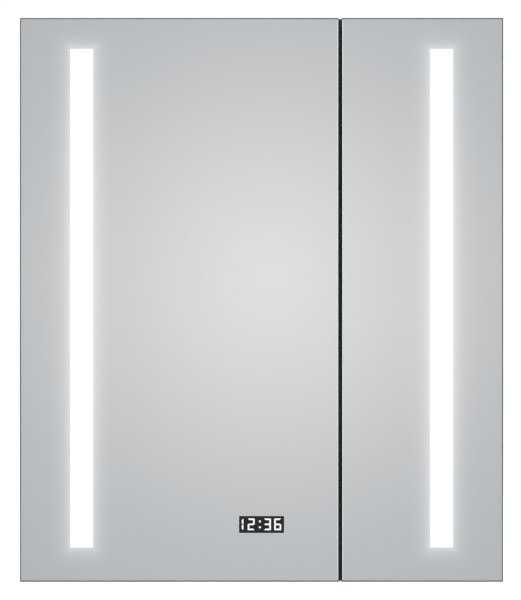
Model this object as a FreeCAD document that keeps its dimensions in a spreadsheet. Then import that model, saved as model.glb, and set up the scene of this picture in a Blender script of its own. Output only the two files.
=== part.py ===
"""Wall-hung medicine cabinet with two mirror doors, light strips and a clock.

Frame: origin at the centre of the back face, +X to the right as one faces
the mirrors, +Y into the wall, +Z up.  All lengths are millimetres.
Every piece is drawn in place.  The right-hand twins of left-hand pieces are
mirrored across x = 0.
"""
import FreeCAD, Part
import math
import os
import re
import Sketcher
from FreeCAD import Placement, Rotation, Vector

DOC = FreeCAD.newDocument("mirror_cabinet")
SHEET = DOC.addObject("Spreadsheet::Sheet", "sizes")

SIZES = {
    # whole cabinet
    "width": 600, "height": 700, "carcass_depth": 118, "carcass_height": 696,
    "door_space": 2, "door_thick": 20, "left_door_width": 395.5, "door_slit": 4.5,
    # carcass profiles
    "panel": 15, "wall": 1.5, "divider": 12, "back_thick": 3, "chamber_split": 59,
    "shelf_thick": 5, "shelf_height": 111, "shelf_front": 106, "shelf_back": 6,
    "peg_radius": 2.5, "peg_reach": 8, "peg_inset": 22, "peg_pitch": 32,
    "seal_thick": 1.7, "seal_width": 11.5, "seal_over": 1.5, "rib_half": 0.8,
    "rib_tall": 1.4, "bumper_radius": 5,
    # angle keys in the mitred corners
    "angle_reach": 50, "angle_half": 8, "angle_play": 0.1, "angle_front": 90,
    "angle_back": 30,
    # wall fixing
    "hanger_span": 500, "hanger_height": 290, "hanger_wide": 60, "hanger_tall": 40,
    "hanger_thick": 2, "slot_length": 20, "slot_radius": 3, "low_hole_height": 300,
    "rivet_across": 22, "rivet_up": 13, "rivet_radius": 3, "rivet_tall": 1.2,
    # doors
    "edge": 1.5, "front_glass": 4, "back_glass": 3, "etch": 0.3,
    "hinge_stile": 45, "lock_stile": 20, "rail": 20,
    "light_inset": 76.5, "light_width": 28.4, "light_bottom": 42.5, "light_length": 619,
    "channel_width": 40, "channel_extra": 4, "board_width": 10, "board_thick": 1.2,
    "board_short": 2, "led_size": 5, "led_thick": 1.4, "led_first": 10, "led_pitch": 20.5,
    "diffuser_thick": 2, "diffuser_play": 0.2,
    # clock
    "clock_height": 71, "clock_width": 56, "clock_tall": 21, "case_width": 76,
    "case_tall": 36, "case_wall": 2, "key_spacing": 30, "key_radius": 3,
    "key_proud": 1.2, "key_long": 8.4, "key_loose": 0.3, "key_clear": 0.5,
    "collar_thick": 1.2, "collar_extra": 1.6, "face_extra_wide": 4, "face_extra_tall": 3,
    "face_thick": 4,
    # hinges, in the door's own coordinates: across from the outer edge, and forward
    "hinge_rise": 255, "arm_across": 27, "arm_forward": 3.4, "cup_across": 8.5,
    "cup_forward": 6.8, "bore_across": 20.5, "bore_radius": 17.5, "bore_depth": 12,
    "pin_radius": 1.5, "pin_play": 0.06, "eye_radius": 2.4, "link_half": 4.8,
    "ear_inner": 5.2, "ear_outer": 7.2, "nose_radius": 2.6, "arch_rise": 5.6,
    "arch_half": 1.2, "cup_play": 0.1, "wing_thick": 0.6, "wing_half": 28, "cup_pin_half": 7,
    "cup_screw_across": 28, "cup_screw_rise": 22.5, "cup_screw_hole": 2,
    "plate_screw_back": 33, "plate_screw_rise": 16, "plate_screw_hole": 2.3,
    # switch and socket unit
    "unit_depth": 35, "unit_back": 23, "unit_width": 80, "unit_low": 201,
    "unit_tall": 120, "plate_thick": 2.5, "socket_height": 240, "switch_height": 291,
    "socket_radius": 19.5, "socket_deep": 17.5, "rim_radius": 21.8, "rim_proud": 0.8,
    "rim_play": 0.1, "contact_apart": 9.5, "contact_radius": 2.4, "socket_floor": 4,
    "box_inset": 5, "box_wall": 2, "window_half": 12, "window_rise": 18,
    "rocker_half": 11, "rocker_tip": 16.8, "rocker_root": 16, "rocker_proud": 2.6,
    "rocker_valley": 1.2, "rocker_sunk": 4,
    # power supply for the lights, its cover and the cable bush
    "driver_left": -205, "driver_right": -90, "driver_front": 52, "driver_tall": 28,
    "driver_gap": 1, "cover_left": -215, "cover_right": -35, "cover_front": 62,
    "cover_tall": 32, "cover_wall": 1,
    "cable_across": -60, "cable_height": 317, "bush_hole": 7.1, "bush_neck": 7,
    "bush_flange": 9.5, "bush_lip": 2.5, "bush_bore": 4.5,
}

for row, (alias, value) in enumerate(SIZES.items(), 1):
    SHEET.set(f"A{row}", alias)
    SHEET.set(f"B{row}", str(value))
    SHEET.setAlias(f"B{row}", alias)
DOC.recompute()

LEDS = 30
SHELF_LEVELS = ("-shelf_height", "shelf_height")
PIECES = []


# ---------------------------------------------------------------- drawing helpers
def formula(text):
    """Write a formula in the sheet's words as a document expression."""
    return re.sub(r"[a-z_]{3,}", lambda word: "sizes." + word.group(0), str(text))


def bind(thing, prop, text):
    """Tie one property of an object to a formula on the sheet."""
    thing.setExpression(prop, formula(text))


def bind_place(thing, place):
    """Tie an object's position to three formulas."""
    for letter, text in zip("xyz", place):
        bind(thing, f"Placement.Base.{letter}", text)


def keep(thing, label):
    """Name a finished piece and put it on the list of pieces to write."""
    thing.Label = label
    PIECES.append(thing)
    return thing


def block(name, x, y, z):
    """Rectangular solid between two faces, each a formula, along each axis."""
    solid = DOC.addObject("Part::Box", name)
    for prop, (low, high) in zip(("Length", "Width", "Height"), (x, y, z)):
        bind(solid, prop, f"({high}) - ({low})")
    bind_place(solid, (x[0], y[0], z[0]))
    return solid


TURNS = {
    "x": Rotation(Vector(0, 1, 0), 90),
    "y": Rotation(Vector(1, 0, 0), -90),
    "z": Rotation(),
}


def rod(name, axis, start, length, radius):
    """Round solid that starts at a point and runs in +axis."""
    solid = DOC.addObject("Part::Cylinder", name)
    solid.Placement = Placement(Vector(), TURNS[axis])
    bind(solid, "Radius", radius)
    bind(solid, "Height", length)
    bind_place(solid, start)
    return solid


def fuse(name, solids):
    """One solid made of several that touch or overlap."""
    whole = DOC.addObject("Part::MultiFuse", name)
    whole.Shapes = solids
    return whole


def group(name, solids):
    """Several separate solids that share one node."""
    several = DOC.addObject("Part::Compound", name)
    several.Links = solids
    return several


def cut(name, base, tools):
    """A solid with one or more tools taken away."""
    result = DOC.addObject("Part::Cut", name)
    result.Base = base
    result.Tool = tools[0] if len(tools) == 1 else fuse(name + "_tools", tools)
    return result


def mirrored(name, source, axis):
    """The twin of a piece across the plane through the origin normal to axis."""
    twin = DOC.addObject("Part::Mirroring", name)
    twin.Source = source
    twin.Normal = {"x": Vector(1, 0, 0), "z": Vector(0, 0, 1)}[axis]
    return twin


def up_and_down(name, upper):
    """A hinge piece at the upper hinge together with its twin at the lower one."""
    return group(name, [upper, mirrored(name + "_lower", upper, "z")])


# ---------------------------------------------------------------- sketch helpers
def sketch_on(body, role, name, offset="0"):
    """Sketch on one of the body's own origin planes, moved along its normal."""
    sketch = body.newObject("Sketcher::SketchObject", name)
    plane = [item for item in body.Origin.OriginFeatures if item.Role == role][0]
    sketch.AttachmentSupport = [(plane, "")]
    sketch.MapMode = "FlatFace"
    bind(sketch, "AttachmentOffset.Base.z", offset)
    return sketch


def fix_point(sketch, item, end, spot, corner):
    """Hold one point of the sketch at a pair of formulas."""
    for kind, value, text in zip(("DistanceX", "DistanceY"), spot, corner):
        rule = Sketcher.Constraint(kind, -1, 1, item, end, value)
        bind(sketch, f"Constraints[{sketch.addConstraint(rule)}]", text)


def outline(sketch, corners):
    """Closed run of straight lines whose corners are pairs of formulas."""
    first = sketch.GeometryCount
    count = len(corners)
    angles = [0.3 + 2 * math.pi * i / count for i in range(count)]
    dots = [Vector(math.cos(angle), math.sin(angle), 0) for angle in angles]
    for i in range(count):
        sketch.addGeometry(Part.LineSegment(dots[i], dots[(i + 1) % count]), False)
    for i in range(count):
        after = first + (i + 1) % count
        sketch.addConstraint(Sketcher.Constraint("Coincident", first + i, 2, after, 1))
    for i, corner in enumerate(corners):
        fix_point(sketch, first + i, 1, dots[i], corner)


def rectangle(sketch, across, up):
    """Closed rectangle between two formulas each way."""
    outline(sketch, [(across[0], up[0]), (across[1], up[0]),
                     (across[1], up[1]), (across[0], up[1])])


def circle(sketch, centre, radius):
    """Full circle about a pair of formulas."""
    item = sketch.addGeometry(Part.Circle(Vector(1, 1, 0), Vector(0, 0, 1), 1), False)
    fix_point(sketch, item, 3, (1, 1), centre)
    rule = Sketcher.Constraint("Radius", item, 1)
    bind(sketch, f"Constraints[{sketch.addConstraint(rule)}]", radius)


def pad(body, sketch, length):
    """Raise the sketch along its normal."""
    feature = body.newObject("PartDesign::Pad", sketch.Name + "_pad")
    feature.Profile = sketch
    bind(feature, "Length", length)
    return feature


def pocket(body, sketch, depth, forward=False):
    """Sink the sketch into the body, and make sure that it takes something away."""
    DOC.recompute()
    before = body.Shape.Volume
    feature = body.newObject("PartDesign::Pocket", sketch.Name + "_pocket")
    feature.Profile = sketch
    feature.Reversed = forward
    bind(feature, "Length", depth)
    DOC.recompute()
    if body.Shape.Volume > before - 0.01:
        raise ValueError(f"{sketch.Name} cuts nothing")
    return feature


def repeat(body, feature, sketch, pitch, count):
    """Repeat a feature up the sketch's vertical axis."""
    DOC.recompute()
    pattern = body.newObject("PartDesign::LinearPattern", sketch.Name + "_pattern")
    pattern.Originals = [feature]
    pattern.Direction = (sketch, ["V_Axis"])
    bind(pattern, "Length", f"{pitch} * {count - 1}")
    pattern.Occurrences = count
    body.Tip = pattern


# ---------------------------------------------------------------- carcass
SIDE = "width / 2"
INNER_SIDE = "(width / 2 - panel)"
TOP = "carcass_height / 2"
INNER_TOP = "(carcass_height / 2 - panel)"
SPLIT = "(left_door_width + door_slit / 2 - width / 2)"
DIVIDER_LEFT = f"({SPLIT} - divider / 2)"
DIVIDER_RIGHT = f"({SPLIT} + divider / 2)"


def hollow_profile(sketch, across, flip):
    """Profile with two long chambers, split by a web; flip draws it along y, z."""
    shapes = [(across, ("-carcass_depth", "0"))]
    inner = (f"{across[0]} + wall", f"{across[1]} - wall")
    shapes.append((inner, ("wall - carcass_depth", "-chamber_split - wall / 2")))
    shapes.append((inner, ("wall / 2 - chamber_split", "-back_thick - wall")))
    for one_way, other_way in shapes:
        if flip:
            rectangle(sketch, other_way, one_way)
        else:
            rectangle(sketch, one_way, other_way)


def peg_rows():
    """Places of the shelf pegs: front and back, under each shelf."""
    for level in SHELF_LEVELS:
        for depth in (f"peg_inset - shelf_front", "-peg_inset - shelf_back"):
            yield depth, f"{level} - shelf_thick / 2 - peg_radius"


def back_rebate(body, sketch_role, name, across, flip, start, length):
    """Step along the back inner edge that the back panel drops into."""
    sketch = sketch_on(body, sketch_role, name, start)
    up = ("-back_thick", "1")
    if flip:
        rectangle(sketch, up, across)
    else:
        rectangle(sketch, across, up)
    pocket(body, sketch, length, forward=True)


def side_panel():
    """Left side: mitred hollow profile with peg holes and hinge-plate holes."""
    body = DOC.addObject("PartDesign::Body", "side_body")
    profile = sketch_on(body, "XY_Plane", "side_profile", f"-{TOP}")
    hollow_profile(profile, (f"-{SIDE}", f"-{INNER_SIDE}"), False)
    pad(body, profile, "carcass_height")
    back_rebate(body, "XY_Plane", "side_rebate", (f"-{INNER_SIDE} - wall", f"-{INNER_SIDE} + 1"),
                False, f"-{TOP}", "carcass_height")
    mitre = sketch_on(body, "XZ_Plane", "side_mitre", "-1")
    for sign in ("", "-"):
        outline(mitre, [(f"1 - {INNER_SIDE}", f"{sign}(carcass_height / 2 - panel - 1)"),
                        (f"1 - {INNER_SIDE}", f"{sign}(carcass_height / 2 + 1)"),
                        (f"-{SIDE} - 1", f"{sign}(carcass_height / 2 + 1)")])
    pocket(body, mitre, "carcass_depth + 2", forward=True)
    holes = sketch_on(body, "YZ_Plane", "side_holes", f"1 - {INNER_SIDE}")
    for depth, level in peg_rows():
        for step in ("-peg_pitch", "0", "peg_pitch"):
            circle(holes, (depth, f"{level} + {step}"), "peg_radius")
    for rise in ("hinge_rise", "-hinge_rise"):
        for shift in ("-plate_screw_rise", "plate_screw_rise"):
            circle(holes, ("plate_screw_back - carcass_depth", f"{rise} + {shift}"),
                   "plate_screw_hole")
    pocket(body, holes, "wall + 1.5")
    return body


def level_panel():
    """Top: the same profile laid across, mitred into the sides."""
    body = DOC.addObject("PartDesign::Body", "top_body")
    profile = sketch_on(body, "YZ_Plane", "top_profile", f"-{SIDE}")
    hollow_profile(profile, (INNER_TOP, TOP), True)
    pad(body, profile, "width")
    back_rebate(body, "YZ_Plane", "top_rebate", (f"{INNER_TOP} - 1", f"{INNER_TOP} + wall"),
                True, f"-{SIDE}", "width")
    mitre = sketch_on(body, "XZ_Plane", "top_mitre", "-1")
    for sign in ("", "-"):
        outline(mitre, [(f"{sign}(width / 2 - panel - 1)", "carcass_height / 2 - panel - 1"),
                        (f"{sign}(width / 2 + 1)", "carcass_height / 2 - panel - 1"),
                        (f"{sign}(width / 2 + 1)", "carcass_height / 2 + 1")])
    pocket(body, mitre, "carcass_depth + 2", forward=True)
    return body


def divider_panel():
    """Upright behind the gap between the doors."""
    body = DOC.addObject("PartDesign::Body", "divider_body")
    profile = sketch_on(body, "XY_Plane", "divider_profile", f"-{INNER_TOP}")
    across = (DIVIDER_LEFT, DIVIDER_RIGHT)
    rectangle(profile, across, ("-carcass_depth", "-back_thick"))
    inner = (f"{DIVIDER_LEFT} + wall", f"{DIVIDER_RIGHT} - wall")
    rectangle(profile, inner, ("wall - carcass_depth", "-chamber_split - wall / 2"))
    rectangle(profile, inner, ("wall / 2 - chamber_split", "-back_thick - wall"))
    pad(body, profile, f"2 * {INNER_TOP}")
    holes = sketch_on(body, "YZ_Plane", "divider_holes", f"{DIVIDER_RIGHT} + 1")
    for depth, level in peg_rows():
        circle(holes, (depth, level), "peg_radius")
    pocket(body, holes, "divider + 2")
    return body


def back_panel():
    """Sheet back with the wall slots, the lower wall holes and the cable hole."""
    body = DOC.addObject("PartDesign::Body", "back_body")
    sheet = sketch_on(body, "XZ_Plane", "back_sheet")
    rectangle(sheet, (f"-{INNER_SIDE} - wall", f"{INNER_SIDE} + wall"),
              (f"-{INNER_TOP} - wall", f"{INNER_TOP} + wall"))
    for side in ("-hanger_span / 2", "hanger_span / 2"):
        circle(sheet, (side, "-low_hole_height"), "slot_radius")
    circle(sheet, CABLE_AT, "bush_hole")
    pad(body, sheet, "back_thick")
    slots = [slot_tool(f"back_slot_{i}", side) for i, side in enumerate(("-", ""))]
    return cut("back_cut", body, slots)


def slot_tool(name, side):
    """Solid of one horizontal wall slot, through every sheet behind it."""
    centre = f"{side}hanger_span / 2"
    half = "(slot_length / 2 - slot_radius)"
    depth = ("-back_thick - hanger_thick - 2", "2")
    length = "back_thick + hanger_thick + 4"
    ends = [rod(f"{name}_end_{i}", "y", (f"{centre} {sign} {half}", depth[0], "hanger_height"),
                length, "slot_radius") for i, sign in enumerate("-+")]
    middle = block(name + "_middle", (f"{centre} - {half}", f"{centre} + {half}"), depth,
                   ("hanger_height - slot_radius", "hanger_height + slot_radius"))
    return fuse(name, ends + [middle])


def hanger_plates():
    """Steel plates that stiffen the back at the wall slots."""
    plates = []
    for i, side in enumerate(("-", "")):
        centre = f"{side}hanger_span / 2"
        plate = block(f"hanger_{i}", (f"{centre} - hanger_wide / 2", f"{centre} + hanger_wide / 2"),
                      ("-back_thick - hanger_thick", "-back_thick"),
                      ("hanger_height - hanger_tall / 2", "hanger_height + hanger_tall / 2"))
        plates.append(cut(f"hanger_cut_{i}", plate, [slot_tool(f"hanger_slot_{i}", side)]))
    return group("hangers", plates)


def hanger_rivets():
    """Low rivet heads at the corners of both plates."""
    heads = []
    for side in ("-", ""):
        for shift in ("-rivet_across", "rivet_across"):
            for up in ("-rivet_up", "rivet_up"):
                start = (f"{side}hanger_span / 2 + {shift}",
                         "-back_thick - hanger_thick - rivet_tall", f"hanger_height + {up}")
                heads.append(rod(f"rivet_{len(heads)}", "y", start, "rivet_tall",
                                 "rivet_radius"))
    return group("rivets", heads)


def corner_keys():
    """Angle keys inside the mitred corners, one in each chamber."""
    keys = []
    thin = ("wall + angle_play", "panel - wall - angle_play")
    for j, depth in enumerate(("-angle_front", "-angle_back")):
        y = (f"{depth} - angle_half", f"{depth} + angle_half")
        upright = block(f"key_up_{j}", (f"{thin[0]} - width / 2", f"{thin[1]} - width / 2"), y,
                        (f"{TOP} - angle_reach", f"{TOP} - ({thin[0]})"))
        level = block(f"key_level_{j}", (f"{thin[0]} - width / 2", "angle_reach - width / 2"),
                      y, (f"{TOP} - ({thin[1]})", f"{TOP} - ({thin[0]})"))
        key = fuse(f"key_{j}", [upright, level])
        keys.append(up_and_down(f"keys_left_{j}", key))
        keys.append(mirrored(f"keys_right_{j}", keys[-1], "x"))
    return group("keys", keys)


def shelf(name, left, right, level):
    """Toughened glass shelf resting on its pegs."""
    return block(name, (f"{left} + 1", f"{right} - 1"), ("-shelf_front", "-shelf_back"),
                 (f"{level} - shelf_thick / 2", f"{level} + shelf_thick / 2"))


def shelf_pegs():
    """Round pegs in both walls of each bay."""
    pegs = []
    starts = [(f"-{INNER_SIDE} - wall", "wall + peg_reach"),
              (f"{DIVIDER_LEFT} - peg_reach", "peg_reach + wall"),
              (f"{DIVIDER_RIGHT} - wall", "wall + peg_reach"),
              (f"{INNER_SIDE} - peg_reach", "peg_reach + wall")]
    for depth, level in peg_rows():
        for start, length in starts:
            pegs.append(rod(f"peg_{len(pegs)}", "x", (start, depth, level), length,
                            "peg_radius"))
    return group("pegs", pegs)


def divider_seal():
    """Rubber strip over the divider's edge, with a round rib standing in the gap."""
    up = (f"-{TOP} - seal_over", f"{TOP} + seal_over")
    face = "-carcass_depth - seal_thick"
    strip = block("seal_strip", (f"{SPLIT} - seal_width / 2", f"{SPLIT} + seal_width / 2"),
                  (face, "-carcass_depth"), up)
    stem = block("seal_stem", (f"{SPLIT} - rib_half", f"{SPLIT} + rib_half"),
                 (f"{face} - rib_tall", f"{face} + seal_thick / 2"), up)
    crest = rod("seal_crest", "z", (SPLIT, f"{face} - rib_tall", up[0]),
                f"2 * ({up[1]})", "rib_half")
    return fuse("seal", [strip, stem, crest])


BUMPER_SPOTS = (-250, 70, 125, 250)


def door_bumpers():
    """Rubber pads on the top and bottom panels that the doors close on."""
    pads = []
    for spot in BUMPER_SPOTS:
        for sign in ("", "-"):
            start = (spot, "-carcass_depth - seal_thick", f"{sign}(carcass_height - panel) / 2")
            pads.append(rod(f"bumper_{len(pads)}", "y", start, "seal_thick", "bumper_radius"))
    return group("bumpers", pads)


def build_carcass():
    """Every fixed piece of the carcass except the hinges and the electrics."""
    left = keep(side_panel(), "left_side_panel")
    keep(mirrored("right_side", left, "x"), "right_side_panel")
    top = keep(level_panel(), "top_panel")
    keep(mirrored("bottom", top, "z"), "bottom_panel")
    keep(corner_keys(), "corner_keys")
    keep(divider_panel(), "divider_panel")
    keep(back_panel(), "back_panel")
    keep(hanger_plates(), "hanger_plates")
    keep(hanger_rivets(), "hanger_rivets")
    for height, level in zip(("lower", "upper"), SHELF_LEVELS):
        keep(shelf(f"shelf_left_{height}", f"-{INNER_SIDE}", DIVIDER_LEFT, level),
             f"left_{height}_shelf")
        keep(shelf(f"shelf_right_{height}", DIVIDER_RIGHT, INNER_SIDE, level),
             f"right_{height}_shelf")
    keep(shelf_pegs(), "shelf_pegs")
    keep(divider_seal(), "divider_seal")
    keep(door_bumpers(), "door_bumpers")


# ---------------------------------------------------------------- electrics
CABLE_AT = ("cable_across", "cable_height")


def driver_pieces():
    """Power supply for the lights, under a bent sheet cover below the top panel."""
    back = "-back_thick"
    keep(block("driver", ("driver_left", "driver_right"), ("-driver_front", f"{back} - driver_gap"),
               (f"{INNER_TOP} - driver_tall", INNER_TOP)), "led_driver")
    shell = block("cover_outer", ("cover_left", "cover_right"), ("-cover_front", back),
                  (f"{INNER_TOP} - cover_tall", INNER_TOP))
    hollow = block("cover_inner", ("cover_left + cover_wall", "cover_right - cover_wall"),
                   ("cover_wall - cover_front", f"{back} + 1"),
                   (f"{INNER_TOP} - cover_tall + cover_wall", f"{INNER_TOP} + 1"))
    keep(cut("cover_cut", shell, [hollow]), "driver_cover")


def cable_grommet():
    """Rubber bush in the back panel for the mains lead."""
    side, up = CABLE_AT
    neck = rod("grommet_neck", "y", (side, "-back_thick", up), "back_thick", "bush_neck")
    flange = rod("grommet_flange", "y", (side, "-back_thick - bush_lip", up), "bush_lip",
                 "bush_flange")
    bore = rod("grommet_bore", "y", (side, "-back_thick - bush_lip - 1", up),
               "back_thick + bush_lip + 2", "bush_bore")
    return cut("grommet", fuse("grommet_body", [neck, flange]), [bore])


UNIT_FACE = f"({DIVIDER_LEFT} - unit_depth - plate_thick)"
UNIT_FRONT = "-unit_back - unit_width"
UNIT_MIDDLE = "(-unit_back - unit_width / 2)"


def outlet_unit():
    """Box, face plate and socket on the divider, and the rocker that lights the doors."""
    back_of_plate = f"{UNIT_FACE} + plate_thick"
    y_box = (f"{UNIT_FRONT} + box_inset", "-unit_back - box_inset")
    z_box = ("unit_low + box_inset", "unit_low + unit_tall - box_inset")
    box = block("unit_outer", (back_of_plate, DIVIDER_LEFT), y_box, z_box)
    room = block("unit_inner", (f"{back_of_plate} - 1", f"{DIVIDER_LEFT} - box_wall"),
                 (f"{y_box[0]} + box_wall", f"{y_box[1]} - box_wall"),
                 (f"{z_box[0]} + box_wall", f"{z_box[1]} - box_wall"))
    keep(cut("unit_box", box, [room]), "outlet_box")
    plate = block("unit_plate", (UNIT_FACE, back_of_plate), (UNIT_FRONT, "-unit_back"),
                  ("unit_low", "unit_low + unit_tall"))
    round_hole = rod("unit_round_hole", "x", (f"{UNIT_FACE} - 1", UNIT_MIDDLE, "socket_height"),
                     "plate_thick + 2", "rim_radius + rim_play")
    rocker_hole = block("unit_rocker_hole", (f"{UNIT_FACE} - 1", f"{back_of_plate} + 1"),
                        (f"{UNIT_MIDDLE} - window_half", f"{UNIT_MIDDLE} + window_half"),
                        ("switch_height - window_rise", "switch_height + window_rise"))
    keep(cut("unit_face", plate, [round_hole, rocker_hole]), "outlet_face_plate")
    rim = f"{UNIT_FACE} - rim_proud"
    body = rod("socket_body", "x", (rim, UNIT_MIDDLE, "socket_height"),
               "socket_deep + socket_floor", "rim_radius")
    recess = rod("socket_recess", "x", (f"{rim} - 1", UNIT_MIDDLE, "socket_height"),
                 "socket_deep + 1", "socket_radius")
    contacts = [rod(f"socket_contact_{i}", "x",
                    (rim, f"{UNIT_MIDDLE} {sign} contact_apart", "socket_height"),
                    "socket_deep + socket_floor - 1", "contact_radius")
                for i, sign in enumerate("-+")]
    keep(cut("socket", body, [recess] + contacts), "socket_insert")
    keep(rocker(), "switch_rocker")


def rocker():
    """Rocker plate with its two faces sloping to a shallow valley at the pivot."""
    body = DOC.addObject("PartDesign::Body", "rocker_body")
    profile = sketch_on(body, "XZ_Plane", "rocker_profile", f"-{UNIT_MIDDLE} - rocker_half")
    proud = f"{UNIT_FACE} - rocker_proud"
    sunk = f"{UNIT_FACE} + rocker_sunk"
    outline(profile, [(proud, "switch_height - rocker_tip"), (sunk, "switch_height - rocker_root"),
                      (sunk, "switch_height + rocker_root"), (proud, "switch_height + rocker_tip"),
                      (f"{UNIT_FACE} - rocker_valley", "switch_height")])
    pad(body, profile, "2 * rocker_half")
    return body


# ---------------------------------------------------------------- doors
DOOR_BACK = "(carcass_depth + door_space)"
LEAF_BACK = f"({DOOR_BACK} + back_glass)"
LEAF_FRONT = "(carcass_depth + door_space + door_thick - front_glass)"
DOOR_FRONT = "(carcass_depth + door_space + door_thick)"
DOOR_TOP = "(height / 2 - edge)"
RIGHT_DOOR_WIDTH = "(width - left_door_width - door_slit)"
LIGHT_LOW = "light_bottom - height / 2"
LIGHT_HIGH = "light_bottom + light_length - height / 2"
LIGHT_MIDDLE = "(light_inset - width / 2)"
CLOCK_AT = "(clock_height - height / 2)"


def plate(name, across, up, back, thick, windows=()):
    """Flat plate in the door's plane, whose back is so far in front of the wall."""
    body = DOC.addObject("PartDesign::Body", name + "_body")
    face = sketch_on(body, "XZ_Plane", name + "_face", back)
    rectangle(face, across, up)
    pad(body, face, thick)
    for i, (window_across, window_up) in enumerate(windows):
        etched = sketch_on(body, "XZ_Plane", f"{name}_window_{i}", back)
        rectangle(etched, window_across, window_up)
        pocket(body, etched, "etch", forward=True)
    return body


def hinge_stile(name):
    """Hollow upright at the hinge edge, bored for the hinge cups and their screws."""
    body = DOC.addObject("PartDesign::Body", name + "_body")
    profile = sketch_on(body, "XY_Plane", name + "_profile", f"-{DOOR_TOP}")
    outer = ("edge - width / 2", "edge + hinge_stile - width / 2")
    rectangle(profile, outer, (f"-{LEAF_FRONT}", f"-{DOOR_BACK}"))
    chamber = (f"-{LEAF_FRONT} + wall / 2", f"-{DOOR_BACK} - bore_depth - wall / 2")
    rectangle(profile, (f"{outer[0]} + wall", f"{outer[1]} - wall"), chamber)
    pad(body, profile, f"2 * {DOOR_TOP}")
    bores = sketch_on(body, "XZ_Plane", name + "_bores", DOOR_BACK)
    for rise in ("hinge_rise", "-hinge_rise"):
        circle(bores, ("bore_across - width / 2", rise), "bore_radius")
        for shift in ("-cup_screw_rise", "cup_screw_rise"):
            circle(bores, ("cup_screw_across - width / 2", f"{rise} + {shift}"),
                   "cup_screw_hole")
    pocket(body, bores, "bore_depth", forward=True)
    return body


def led_channel(name):
    """Open channel behind the light window."""
    body = DOC.addObject("PartDesign::Body", name + "_body")
    profile = sketch_on(body, "XY_Plane", name + "_profile", f"{LIGHT_LOW} - channel_extra")
    left = f"({LIGHT_MIDDLE} - channel_width / 2)"
    right = f"({LIGHT_MIDDLE} + channel_width / 2)"
    outline(profile, [(left, f"-{LEAF_FRONT}"), (left, f"-{LEAF_BACK}"),
                      (right, f"-{LEAF_BACK}"), (right, f"-{LEAF_FRONT}"),
                      (f"{right} - wall", f"-{LEAF_FRONT}"),
                      (f"{right} - wall", f"-{LEAF_BACK} - wall"),
                      (f"{left} + wall", f"-{LEAF_BACK} - wall"),
                      (f"{left} + wall", f"-{LEAF_FRONT}")])
    pad(body, profile, "light_length + 2 * channel_extra")
    return body


def led_strip(name):
    """Narrow board with a row of square LEDs."""
    body = DOC.addObject("PartDesign::Body", name + "_body")
    board = sketch_on(body, "XZ_Plane", name + "_board", f"{LEAF_BACK} + wall")
    rectangle(board, (f"{LIGHT_MIDDLE} - board_width / 2", f"{LIGHT_MIDDLE} + board_width / 2"),
              (f"{LIGHT_LOW} + board_short", f"{LIGHT_HIGH} - board_short"))
    pad(body, board, "board_thick")
    led = sketch_on(body, "XZ_Plane", name + "_led", f"{LEAF_BACK} + wall + board_thick")
    rectangle(led, (f"{LIGHT_MIDDLE} - led_size / 2", f"{LIGHT_MIDDLE} + led_size / 2"),
              (f"{LIGHT_LOW} + led_first", f"{LIGHT_LOW} + led_first + led_size"))
    first = pad(body, led, "led_thick")
    repeat(body, first, led, "led_pitch", LEDS)
    return body


def edge_band(name, left, right):
    """Thin band round the door, lapped by the glass at the edge that meets the other door."""
    y = (f"-{DOOR_FRONT}", f"-{DOOR_BACK}")
    outer = block(name + "_outer", (left, right), y, ("-height / 2", "height / 2"))
    inner = block(name + "_inner", (f"{left} + edge", f"{right} - edge"),
                  (f"{y[0]} - 1", f"{y[1]} + 1"), (f"-{DOOR_TOP}", DOOR_TOP))
    lap = block(name + "_lap", (f"{right} - edge - 1", f"{right} + 1"),
                (f"{y[0]} - 1", f"-{LEAF_FRONT}"), (f"-{DOOR_TOP}", DOOR_TOP))
    return cut(name + "_cut", outer, [inner, lap])


def build_door(side, door_width, across_x, extra_windows, key_holes):
    """One door leaf, drawn at the left; across_x gives its final side."""
    def place(thing, label):
        final = mirrored(f"{side}_{label}_twin", thing, "x") if across_x else thing
        keep(final, f"{side}_{label}")

    name = side + "_door_"
    left = "(-width / 2)"
    right = f"({door_width} - width / 2)"
    inside = f"({right} - edge)"
    stile_end = "(edge + hinge_stile - width / 2)"
    lock_start = f"({inside} - lock_stile)"
    full = (f"-{DOOR_TOP}", DOOR_TOP)
    light = ((f"{LIGHT_MIDDLE} - light_width / 2", f"{LIGHT_MIDDLE} + light_width / 2"),
             (LIGHT_LOW, LIGHT_HIGH))
    leaf = (f"-{LEAF_FRONT}", f"-{LEAF_BACK}")

    place(edge_band(name + "band", left, right), "edge_band")
    place(hinge_stile(name + "stile"), "hinge_stile")
    place(hollow_bar(name + "lock", (lock_start, inside), leaf, full, "z"), "lock_stile")
    for label, up in (("top_rail", (f"{DOOR_TOP} - rail", DOOR_TOP)),
                      ("bottom_rail", (f"-{DOOR_TOP}", f"rail - {DOOR_TOP}"))):
        place(hollow_bar(name + label, (stile_end, lock_start), leaf, up, "x"), label)
    place(plate(name + "mirror", ("edge - width / 2", right), full, LEAF_FRONT, "front_glass",
                [light] + extra_windows), "front_mirror")
    inner_mirror = plate(name + "inner", (stile_end, inside), full, DOOR_BACK, "back_glass")
    if key_holes:
        inner_mirror = cut(name + "inner_cut", inner_mirror, key_holes)
    place(inner_mirror, "back_mirror")
    place(led_channel(name + "channel"), "led_channel")
    place(led_strip(name + "leds"), "led_strip")
    place(plate(name + "diffuser",
                (f"{LIGHT_MIDDLE} - channel_width / 2 + wall + diffuser_play",
                 f"{LIGHT_MIDDLE} + channel_width / 2 - wall - diffuser_play"),
                (f"{LIGHT_LOW} - board_short", f"{LIGHT_HIGH} + board_short"),
                f"{LEAF_FRONT} - diffuser_thick", "diffuser_thick"), "diffuser")


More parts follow.
